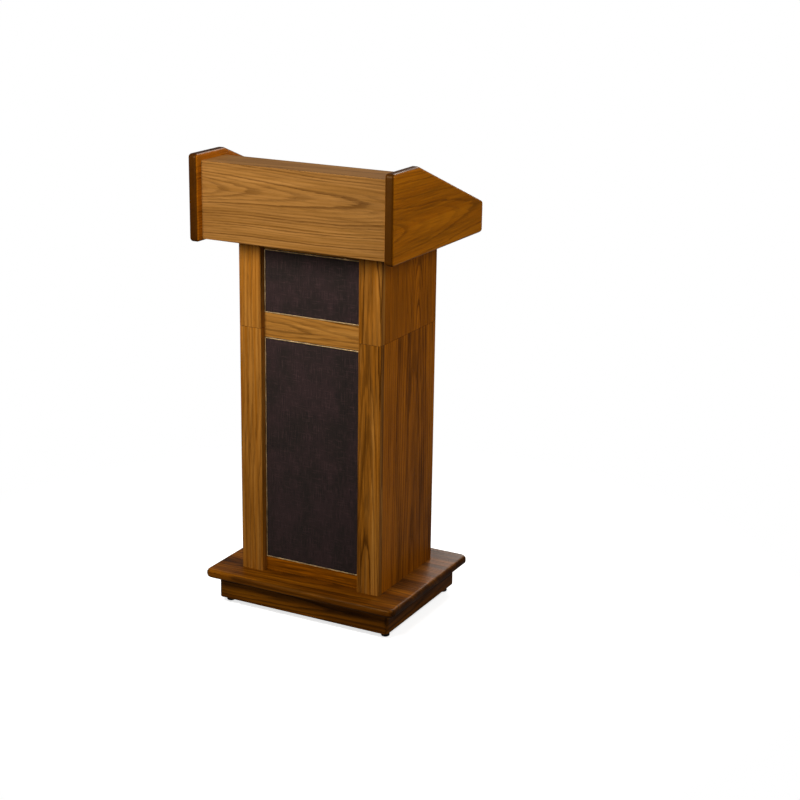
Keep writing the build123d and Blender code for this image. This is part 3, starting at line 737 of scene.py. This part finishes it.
# Each stain: the boards that have it, then its dark, middle and light tones.
STAINS = {
    "panel": ("the hood's front panel", (0.068, 0.021, 0.002), (0.270, 0.119, 0.024), (0.365, 0.170, 0.042)),
    "hood": ("the cheeks and desk", (0.080, 0.022, 0.0004), (0.400, 0.118, 0.0012), (0.490, 0.160, 0.003)),
    "stile": ("the stiles", (0.052, 0.014, 0.0004), (0.345, 0.117, 0.008), (0.520, 0.218, 0.036)),
    "side": ("the column's sides", (0.052, 0.013, 0.0002), (0.420, 0.118, 0.001), (0.560, 0.170, 0.004)),
    "rail": ("the rails", (0.080, 0.026, 0.003), (0.430, 0.180, 0.029), (0.560, 0.255, 0.050)),
    "plinth": ("the plinth", (0.019, 0.0048, 0.0002), (0.165, 0.046, 0.0006), (0.330, 0.106, 0.0025)),
    "inside": ("the shelves and decks", (0.190, 0.090, 0.032), (0.400, 0.220, 0.090), (0.500, 0.300, 0.135)),
}


class PulpitOak(bpy.types.PropertyGroup):
    """Tones of the stained oak: three for each stain."""

    __annotations__ = {
        f"{stain}_{tone}": tone_property(f"{stain.capitalize()}, {tone}", f"{text} of {boards}", color)
        for stain, (boards, *colors) in STAINS.items()
        for (tone, text), color in zip(TONES.items(), colors)
    }


class PulpitGrille(bpy.types.PropertyGroup):
    """The grilles' cloth and braid."""

    cloth_color: tone_property("Cloth", "Colour of the grille cloth", (0.030, 0.0150, 0.0150))
    cloth_thickness: length_property("Cloth thickness", "Thickness of the grille cloth", 0.0007)
    cloth_thread: length_property("Thread pitch", "Distance between the cloth's threads", 0.0011)
    cloth_lap: length_property("Lap", "How far the cloth turns behind its frame", 0.013)
    braid_color: tone_property("Braid", "Colour of the gilt braid", (0.780, 0.540, 0.260))
    braid_pitch: length_property("Braid pitch", "Distance between the braid's beads", 0.0024)


class PulpitHardware(bpy.types.PropertyGroup):
    """Glides, screws, pins and drivers."""

    plastic_color: tone_property("Plastic", "Colour of the glides, pegs and sockets", (0.012, 0.012, 0.013))
    steel_color: tone_property("Steel", "Colour of the zinc-plated steel", (0.620, 0.610, 0.580))
    enamel_color: tone_property("Enamel", "Colour of the drivers' baskets", (0.034, 0.034, 0.036))
    thread_pitch: length_property("Stud pitch", "Thread pitch of the glides' studs", 0.00125)
    screw_pitch: length_property("Screw pitch", "Thread pitch of the wood screws", 0.0016)
    spokes: bpy.props.IntProperty(
        name="Spokes", description="Spokes of a driver's basket", default=6, min=3, max=12
    )


class PulpitStage(bpy.types.PropertyGroup):
    """Camera, lights and floor."""

    camera_place: bpy.props.FloatVectorProperty(
        name="Camera", description="Where the camera stands", default=(2.126, -3.747, 1.865),
        subtype="TRANSLATION",
    )
    camera_turn: angle_property("Turn", "How far the camera is turned to the left", math.radians(27.44))
    camera_dip: angle_property("Dip", "How far the camera looks down", math.radians(17.0))
    camera_roll: angle_property("Roll", "How far the camera leans", math.radians(0.85))
    lens: bpy.props.FloatProperty(name="Lens", description="Focal length in mm", default=78.35, min=10.0)
    key_power: power_property("Key", "Power of the key light", 25.5)
    fill_power: power_property("Fill", "Power of the fill light", 11.0)
    back_power: power_property("Back", "Power of the back light", 60.0)
    rear_power: power_property("Rear", "Power of the rear fill", 11.0)
    ambient: share_property("Ambient", "Strength of the even light", 0.12)
    floor_glow: share_property("Floor glow", "Light that the camera sees in the floor", 0.74)


# ---- operators -----------------------------------------------------------------------
class PULPIT_OT_oak(bpy.types.Operator):
    """Give every stained oak board its own grain"""

    bl_idname = "pulpit.oak"
    bl_label = "Oak Boards"

    def execute(self, context):
        oaks = context.scene.pulpit_oak
        for name, log in LOGS.items():
            tones = [tuple(getattr(oaks, f"{log.stain}_{tone}")) for tone in TONES]
            dress(name, oak(name, log, tones))
        return {"FINISHED"}


class PULPIT_OT_joinery(bpy.types.Operator):
    """Finish the baffles, grille frames, cleats and dowels"""

    bl_idname = "pulpit.joinery"
    bl_label = "Baffles, Frames and Cleats"

    def execute(self, context):
        black = painted_board("baffle_paint", (0.022, 0.022, 0.023), 1)
        brown = painted_board("frame_fibreboard", (0.150, 0.095, 0.050), 3)
        pine = bare_board("cleat_softwood", (0.560, 0.370, 0.190), "YXZ")
        beech = bare_board("dowel_beech", (0.580, 0.400, 0.230), "ZXY")
        for unit in UNITS:
            dress(unit + "_baffle", black)
            dress(unit + "_grille_frame", brown)
        dress("hood_cleats", pine)
        dress("locating_dowels", beech)
        return {"FINISHED"}


def dress(node, material):
    """Gives a CAD node a material."""
    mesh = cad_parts[node].data
    mesh.materials.clear()
    mesh.materials.append(material)


CLOTH_AIR = 0.0001  # between the frame and the cloth
CLOTH_BEND = 0.0016  # radius of the cloth round the frame's edge
CLOTH_CORNER = 0.003  # radius of the frame's corners
EDGE_BAND = 0.02  # width of the front in which the cloth's travel past the edge fades in


def cloth_shape(unit, settings):
    """Cloth stretched over a grille frame, round its edges and behind it, with its flat measures as UV."""
    low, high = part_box(unit + "_grille_frame")
    centre = (low + high) / 2
    stand = settings.cloth_thickness / 2 + CLOTH_AIR
    front, back = low.y - stand, high.y + stand
    half_x, half_z = (high.x - low.x) / 2 + stand, (high.z - low.z) / 2 + stand
    fall = [
        (1 - math.sin(angle), 1 - math.cos(angle))
        for angle in (math.pi / 2 * step / 4 for step in range(5))
    ]
    # Each lane is a way in from the frame's edge and a depth: round the front edge, down the
    # frame's side, round its back edge and inwards behind it.
    lanes = [(CLOTH_BEND * inset, front + CLOTH_BEND * deep) for inset, deep in fall]
    straight = back - front - 2 * CLOTH_BEND
    lanes += [(0.0, front + CLOTH_BEND + straight * step / 4) for step in range(1, 4)]
    lanes += [(CLOTH_BEND * deep, back - CLOTH_BEND * inset) for inset, deep in fall]
    lanes.append((settings.cloth_lap, back))
    shape = bmesh.new()
    layer = shape.loops.layers.uv.new("Flat")
    rings = []
    for inset, y in lanes:
        keep = max(CLOTH_CORNER + stand - inset, 0.0004)
        ring = rounded_loop(half_x - inset, half_z - inset, keep, 6)
        rings.append([shape.verts.new((centre.x + p.x, y, centre.z + p.y)) for p in ring])

    def outwards(place, half):
        """How much of the cloth's travel past the edge counts for this axis, with its sign."""
        return math.copysign(min(1.0, max(0.0, abs(place) - half + EDGE_BAND) / EDGE_BAND), place)

    flat = {}
    travelled = 0.0
    for number, ring in enumerate(rings):
        if number:
            (i0, y0), (i1, y1) = lanes[number - 1 : number + 1]
            travelled += math.hypot(i1 - i0, y1 - y0)
        for vert, root in zip(ring, rings[0]):
            x, z = root.co.x - centre.x, root.co.z - centre.z
            out = Vector((outwards(x, half_x), outwards(z, half_z)))
            flat[vert] = Vector((x, z)) + out * travelled
    count = len(rings[0])
    for ring, after in zip(rings, rings[1:]):
        for index in range(count):
            there = (index + 1) % count
            shape.faces.new((ring[index], ring[there], after[there], after[index]))
    shape.faces.new(rings[0])
    for face in shape.faces:
        for loop in face.loops:
            loop[layer].uv = flat[loop.vert]
    return shape


class PULPIT_OT_cloth(bpy.types.Operator):
    """Stretch the cloth over both grille frames"""

    bl_idname = "pulpit.cloth"
    bl_label = "Grille Cloth"

    def execute(self, context):
        settings = context.scene.pulpit_grille
        cloth = woven_cloth("grille_cloth", tuple(settings.cloth_color), settings.cloth_thread)
        for unit in UNITS:
            mesh = from_bmesh(unit + "_cloth", cloth_shape(unit, settings), 50.0)
            piece = place_mesh(unit + "_cloth", mesh, cloth)
            solid = piece.modifiers.new("Thickness", "SOLIDIFY")
            solid.thickness = settings.cloth_thickness
            solid.offset = 0.0
            settle(piece, unit + "_grille", unit + "_grille_cloth")
        return {"FINISHED"}


class PULPIT_OT_braid(bpy.types.Operator):
    """Run the gilt braid round both grilles"""

    bl_idname = "pulpit.braid"
    bl_label = "Gilt Braid"

    def execute(self, context):
        settings = context.scene.pulpit_grille
        metal = gilt("gilt_braid", tuple(settings.braid_color))
        tree = braid_tree()
        for unit in UNITS:
            centre, half = middle_and_half(unit + "_grille_bead")
            width = half.y * 2
            inset = width * 0.93
            ring = rounded_loop(half.x - inset, half.z - inset, 0.002, 3)
            ring = [(centre.x + p.x, centre.y, centre.z + p.y) for p in ring]
            values = {
                "Pitch": settings.braid_pitch, "Bead Length": settings.braid_pitch * 1.75,
                "Bead Width": width * 1.45, "Bead Depth": width, "Slant": 0.62, "Core Radius": width * 0.38}
            mesh = grown(unit + "_braid", points_mesh("line", ring, closed=True), tree, metal, values)
            piece = place_mesh(unit + "_braid", mesh, metal)
            settle(piece, unit + "_grille", unit + "_grille_bead")
        return {"FINISHED"}


class PULPIT_OT_glides(bpy.types.Operator):
    """Build the four levelling glides with their pads and threaded studs"""

    bl_idname = "pulpit.glides"
    bl_label = "Levelling Glides"

    def execute(self, context):
        hardware = context.scene.pulpit_hardware
        plastic = moulded_plastic("glide_plastic", tuple(hardware.plastic_color))
        steel = plated_steel("glide_steel", tuple(hardware.steel_color), 0.28)
        tree = stud_tree()
        top_of_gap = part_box("apron_front")[0].z
        for corner in CORNERS:
            node = "glide_" + corner
            low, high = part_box(node)
            radius = (high.x - low.x) / 2
            foot = Matrix.Translation(((low.x + high.x) / 2, (low.y + high.y) / 2, low.z))
            waist = radius * 0.64
            pad_top = top_of_gap * 0.60
            outline = [
                (0.0, 0.0), (radius - 0.0015, 0.0), (radius, 0.0015), (radius, pad_top * 0.62),
                (radius - 0.0030, pad_top), (waist, pad_top), (0.0, pad_top)]
            pad = turned("glide_pad", [rounded(outline, 0.0008)], foot, 72, 40.0)
            hexagon = [
                (0.0, pad_top - 0.0005), (radius * 0.60, pad_top - 0.0005), (waist, pad_top + 0.0004),
                (waist, top_of_gap - 0.0010), (radius * 0.58, top_of_gap - 0.0005),
                (0.0, top_of_gap - 0.0005)]
            collar = turned("glide_collar", [hexagon], foot, 6, 20.0)
            sunk = 0.0008
            start = points_mesh("start", [foot @ Vector((0.0, 0.0, top_of_gap - sunk))])
            values = {
                "Radius": 0.004, "Length": high.z - low.z - top_of_gap + sunk,
                "Pitch": hardware.thread_pitch}
            stud = grown("glide_stud", start, tree, steel, values)
            for part, mesh, finish, slot in (
                ("pad", pad, plastic, "black_plastic"),
                ("collar", collar, steel, "zinc_steel"),
                ("stud", stud, steel, "zinc_steel"),
            ):
                settle(place_mesh(f"glide_{part}_{corner}", mesh, finish), node, node)
        return {"FINISHED"}


class PULPIT_OT_drivers(bpy.types.Operator):
    """Build the two loudspeaker drivers' baskets, cones and magnets"""

    bl_idname = "pulpit.drivers"
    bl_label = "Loudspeaker Drivers"

    def execute(self, context):
        hardware = context.scene.pulpit_hardware
        enamel = sprayed_steel("basket_enamel", tuple(hardware.enamel_color))
        steel = plated_steel("magnet_plate", tuple(hardware.steel_color), 0.30)
        black = ferrite("magnet_ferrite")
        paper = cone_paper("driver_cone")
        board = moulded_plastic("terminal_board", (0.120, 0.050, 0.020))
        tree = spoke_tree()
        for unit in UNITS:
            self.basket(unit, hardware, tree, enamel, board, steel)
            self.cone(unit, paper)
            self.magnet(unit, steel, black)
        return {"FINISHED"}

    @staticmethod
    def seat(unit):
        """A frame whose Z axis points to the rear, at the middle of the driver's flange face."""
        middle, half = middle_and_half(unit + "_driver_basket")
        turn = Matrix.Rotation(math.radians(-90), 4, "X")
        seat = Matrix.Translation((middle.x, middle.y - half.y, middle.z)) @ turn
        return seat, half.x, half.y * 2

    @staticmethod
    def extra(name, mesh, material, unit, slot):
        """A piece of the basket that stands for no CAD node of its own."""
        piece = place_mesh(name, mesh, material)
        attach(piece, UNIT_BODY[unit])

    def basket(self, unit, hardware, tree, enamel, board, steel):
        seat, rim_stain_and_shade, depth = self.seat(unit)
        hub = middle_and_half(unit + "_driver_magnet")[1].x * 0.90
        lip = 0.0065  # height of the flange's turned-up inner edge
        shape = bmesh.new()
        flange = [
            (rim_stain_and_shade - 0.009, 0.0), (rim_stain_and_shade, 0.0), (rim_stain_and_shade, 0.004), (rim_stain_and_shade - 0.0065, 0.004), (rim_stain_and_shade - 0.0075, lip),
            (rim_stain_and_shade - 0.009, lip)]
        lathe(shape, rounded(flange, 0.0006, 3), seat, 120)
        cup = [
            (hub + 0.0015, depth - 0.0075), (hub, depth), (0.014, depth), (0.014, depth - 0.002),
            (hub - 0.002, depth - 0.002), (hub - 0.0005, depth - 0.0075)]
        lathe(shape, rounded(cup, 0.0006, 3), seat, 96)
        foot = 0.0055  # where the spokes meet the flange
        values = {
            "Count": float(hardware.spokes), "Hub Radius": hub + 0.0005, "Rim Radius": rim_stain_and_shade - 0.0080,
            "Depth": depth - 0.0065 - foot, "Width": 0.017, "Thickness": 0.0020}
        spokes = grown("spokes", points_mesh("hub", [(0.0, 0.0, 0.0)]), tree, enamel, values)
        spokes.transform(seat @ Matrix.Translation((0.0, 0.0, foot)))
        shape.from_mesh(spokes)
        made = place_mesh(unit + "_basket", from_bmesh(unit + "_basket", shape), enamel)
        settle(made, UNIT_BODY[unit], unit + "_driver_basket")
        strip = boxes("terminal_board", seat, [(0.0, -0.0475, 0.018)], (0.024, 0.0016, 0.016))
        self.extra(unit + "_terminal_board", strip, board, unit, "basket_steel")
        places = [(side * 0.007, -0.0490, 0.0265) for side in (-1, 1)]
        tabs = boxes("terminal_tabs", seat, places, (0.0050, 0.0007, 0.0120))
        self.extra(unit + "_terminal_tabs", tabs, steel, unit, "basket_steel")
        waves = 7
        spider = []
        for step in range(waves * 8 + 1):
            share = step / (waves * 8)
            dish = 0.0048 * math.sin(min(1.0, max(0.0, (share - 0.10) / 0.60)) * math.pi / 2)
            lift = 0.0006 * share * math.sin(share * waves * FULL_TURN)
            spider.append((0.0150 + (hub - 0.0165) * share, depth - 0.0031 - dish + lift))
        spider += [(r, z + 0.0005) for r, z in reversed(spider)]
        cloth = bare_board(unit + "_spider_cloth", (0.34, 0.20, 0.09), "YXZ")
        web = turned("spider", [spider], seat, 72, 80.0)
        self.extra(unit + "_spider", web, cloth, unit, "cone_paper")

    def cone(self, unit, paper):
        seat, _, _ = self.seat(unit)
        low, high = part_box(unit + "_driver_cone")
        edge = (high.x - low.x) / 2
        front = 0.0015
        deep = high.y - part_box(unit + "_driver_basket")[0].y
        roll = 0.009  # width of the rubber edge's half round
        neck = edge - roll
        root = 0.0175  # radius at which the dust cap meets the paper
        start = deep - 0.0018
        face = [(0.0, deep - 0.0062), (0.006, deep - 0.0058), (0.012, deep - 0.0042), (root, start)]
        ribs = 5
        for step in range(1, 25):
            share = step / 24
            bulge = 0.0012 * math.sin(share * math.pi)
            rib = 0.00035 * math.cos(share * ribs * FULL_TURN)
            face.append((root + (neck - root) * share, start + (front - start) * share + bulge + rib))
        for step in range(1, 9):
            angle = math.pi * step / 8
            out = roll / 2 * (1 - math.cos(angle)) * 0.94
            face.append((neck + out, front - 0.0016 * math.sin(angle)))
        face.append((edge, front))
        back = [(r, z + 0.0011) for r, z in reversed(face[4:])]
        back += [
            (0.0130, deep - 0.0006), (0.0130, deep + 0.0040), (0.0122, deep + 0.0040),
            (0.0122, deep - 0.0012), (0.0, deep - 0.0030)]
        mesh = turned(unit + "_cone", [face + back], seat, 120, 60.0)
        piece = place_mesh(unit + "_cone", mesh, paper)
        settle(piece, unit + "_cone", unit + "_driver_cone")

    def magnet(self, unit, steel, black):
        seat, _, depth = self.seat(unit)
        half = middle_and_half(unit + "_driver_magnet")[1]
        radius, end = half.x, depth + half.y * 2
        plate_radius = radius * 0.93
        top = depth + 0.0040  # the front plate's rear face
        under = end - 0.0044  # the rear plate's front face
        front = [(0.0148, depth), (plate_radius, depth), (plate_radius, top), (0.0148, top)]
        rear = [
            (0.0045, under), (plate_radius, under), (plate_radius, end), (0.0080, end),
            (0.0045, end - 0.0022)]
        ring = [(0.0200, top), (radius, top), (radius, under), (0.0200, under)]
        outlines = [rounded(outline, 0.0006, 3) for outline in (front, rear)]
        plates = turned("magnet_plates", outlines, seat, 96)
        body = turned("magnet_ring", [rounded(ring, 0.0009, 3)], seat, 96)
        plates = place_mesh(unit + "_magnet_plates", plates, steel)
        body = place_mesh(unit + "_magnet_ring", body, black)
        settle(plates, UNIT_BODY[unit], unit + "_driver_magnet")
        settle(body, UNIT_BODY[unit], unit + "_driver_magnet")


def boxes(name, seat, places, size):
    """A mesh of like boxes about places in a frame."""
    shape = bmesh.new()
    for place in places:
        matrix = seat @ Matrix.Translation(place) @ Matrix.Diagonal((*size, 1.0))
        bmesh.ops.create_cube(shape, size=1.0, matrix=matrix)
    return from_bmesh(name, shape)


def islands(node):
    """The low and high corners of each separate solid of a CAD node."""
    shape = bmesh.new()
    shape.from_mesh(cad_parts[node].data)
    bmesh.ops.remove_doubles(shape, verts=shape.verts, dist=SAME_PLACE)
    found = []
    left = set(shape.verts)
    while left:
        reached = {left.pop()}
        waiting = list(reached)
        while waiting:
            vert = waiting.pop()
            for link in vert.link_edges:
                other = link.other_vert(vert)
                if other in left:
                    left.discard(other)
                    reached.add(other)
                    waiting.append(other)
        low, high = (
            Vector([pick(vert.co[axis] for vert in reached) for axis in range(3)]) for pick in (min, max)
        )
        found.append((low, high))
    shape.free()
    return sorted(found, key=lambda box: tuple(round(c, 5) for c in box[0]))


class PULPIT_OT_screws(bpy.types.Operator):
    """Build the drivers' and the hood's wood screws"""

    bl_idname = "pulpit.screws"
    bl_label = "Wood Screws"
    head = 0.0022  # height of a screw's head

    def execute(self, context):
        hardware = context.scene.pulpit_hardware
        steel = plated_steel("screw_steel", tuple(hardware.steel_color), 0.26)
        tree = screw_tree()
        for unit in UNITS:
            node = unit + "_driver_screws"
            solids = islands(node)
            seats = [((low.x + high.x) / 2, high.y - self.head, (low.z + high.z) / 2) for low, high in solids]
            values = {
                "Length": seats[0][1] - solids[0][0].y, "Turn X": math.radians(-90), "Turn Y": 0.4,
                "Pitch": hardware.screw_pitch}
            self.place(node, unit + "_driver_screw_set", seats, tree, steel, values, UNIT_BODY[unit])
        solids = islands("hood_screws")
        seats = [((low.x + high.x) / 2, (low.y + high.y) / 2, low.z + self.head) for low, high in solids]
        low, high = solids[0]
        values = {
            "Length": high.z - low.z - self.head, "Turn X": math.radians(180), "Foot Radius": 0.0021,
            "Shank Radius": 0.0020, "Pitch": hardware.screw_pitch, "Recess": 0.0009}
        self.place("hood_screws", "hood_screw_set", seats, tree, steel, values, "upper_unit")
        return {"FINISHED"}

    @staticmethod
    def place(node, name, seats, tree, steel, values, body):
        mesh = grown(name, points_mesh("seats", seats), tree, steel, values)
        settle(place_mesh(name, mesh, steel), body, node)


class PULPIT_OT_fittings(bpy.types.Operator):
    """Finish the pegs, sockets, inserts and shelf pins"""

    bl_idname = "pulpit.fittings"
    bl_label = "Pegs, Sockets and Pins"

    def execute(self, context):
        hardware = context.scene.pulpit_hardware
        plastic = moulded_plastic("peg_plastic", tuple(hardware.plastic_color))
        steel = plated_steel("fitting_steel", tuple(hardware.steel_color), 0.30)
        for unit in UNITS:
            dress(unit + "_grille_pegs", plastic)
            dress(unit + "_peg_sockets", plastic)
        dress("glide_inserts", steel)
        dress("shelf_pins", steel)
        return {"FINISHED"}


class PULPIT_OT_stage(bpy.types.Operator):
    """Set the floor, lights, background and camera"""

    bl_idname = "pulpit.stage"
    bl_label = "Stage"

    def execute(self, context):
        stage = context.scene.pulpit_stage
        floor = pale_floor("floor", stage.floor_glow)
        shape = bmesh.new()
        bmesh.ops.create_circle(shape, cap_ends=True, segments=96, radius=40.0)
        mesh = bpy.data.meshes.new("floor")
        shape.to_mesh(mesh)
        shape.free()
        place_mesh("floor", mesh, floor)
        self.light("key", (-0.25, -1.38, 1.62), (0.0, 0.0, 0.95), 0.8, stage.key_power)
        self.light("fill", (1.5, -0.30, 1.65), (0.0, 0.0, 0.9), 0.9, stage.fill_power)
        self.light("back", (0.2, 2.4, 3.2), (0.0, 0.0, 0.6), 1.4, stage.back_power)
        self.light("rear_fill", (-0.40, 2.30, 0.70), (0.0, 0.0, 0.6), 0.9, stage.rear_power)
        world = bpy.data.worlds.new("studio")
        world.use_nodes = True
        world.node_tree.nodes.clear()
        sky = Graph(world.node_tree)
        seen = sky.node("ShaderNodeLightPath", output="Is Camera Ray")
        strength = stage.ambient + (1.0 - stage.ambient) * seen
        back = sky.node("ShaderNodeBackground", None, {0: WHITE, 1: strength})
        sky.node("ShaderNodeOutputWorld", None, {0: back})
        context.scene.world = world
        context.scene.view_settings.view_transform = "Standard"
        self.camera(context, stage)
        return {"FINISHED"}

    @staticmethod
    def light(name, place, target, size, power):
        lamp = bpy.data.lights.new(name, "AREA")
        lamp.shape = "DISK"
        lamp.size = size
        lamp.energy = power
        lamp.color = (1.0, 0.97, 0.93)
        made = bpy.data.objects.new(name, lamp)
        made.location = place
        made.rotation_euler = (Vector(target) - Vector(place)).to_track_quat("-Z", "Y").to_euler()
        bpy.context.scene.collection.objects.link(made)

    @staticmethod
    def camera(context, stage):
        lens = bpy.data.cameras.new("camera")
        lens.lens = stage.lens
        lens.clip_start = 0.05
        lens.clip_end = 200.0
        made = bpy.data.objects.new("camera", lens)
        turn = Matrix.Rotation(stage.camera_turn, 4, "Z")
        dip = Matrix.Rotation(math.radians(90) - stage.camera_dip, 4, "X")
        roll = Matrix.Rotation(stage.camera_roll, 4, "Z")
        made.matrix_world = Matrix.Translation(stage.camera_place) @ turn @ dip @ roll
        context.scene.collection.objects.link(made)
        context.scene.camera = made


class PULPIT_PT_panel(bpy.types.Panel):
    """The pulpit's pieces, in the order they are made"""

    bl_idname = "PULPIT_PT_panel"
    bl_label = "Pulpit"
    bl_space_type = "VIEW_3D"
    bl_region_type = "UI"
    bl_category = "Pulpit"

    def draw(self, context):
        for operator in OPERATORS:
            self.layout.operator(operator.bl_idname)


GROUPS = {
    "pulpit_oak": PulpitOak,
    "pulpit_grille": PulpitGrille,
    "pulpit_hardware": PulpitHardware,
    "pulpit_stage": PulpitStage,
}
OPERATORS = (
    PULPIT_OT_oak,
    PULPIT_OT_joinery,
    PULPIT_OT_cloth,
    PULPIT_OT_braid,
    PULPIT_OT_glides,
    PULPIT_OT_drivers,
    PULPIT_OT_screws,
    PULPIT_OT_fittings,
    PULPIT_OT_stage,
)
CLASSES = (*GROUPS.values(), *OPERATORS, PULPIT_PT_panel)


def register():
    for made in CLASSES:
        bpy.utils.register_class(made)
    for name, group in GROUPS.items():
        setattr(bpy.types.Scene, name, bpy.props.PointerProperty(type=group))


def unregister():
    for name in GROUPS:
        delattr(bpy.types.Scene, name)
    for made in reversed(CLASSES):
        bpy.utils.unregister_class(made)


def main():
    register()
    for operator in OPERATORS:
        family, name = operator.bl_idname.split(".")
        getattr(getattr(bpy.ops, family), name)()


if __name__ == "__main__":
    main()
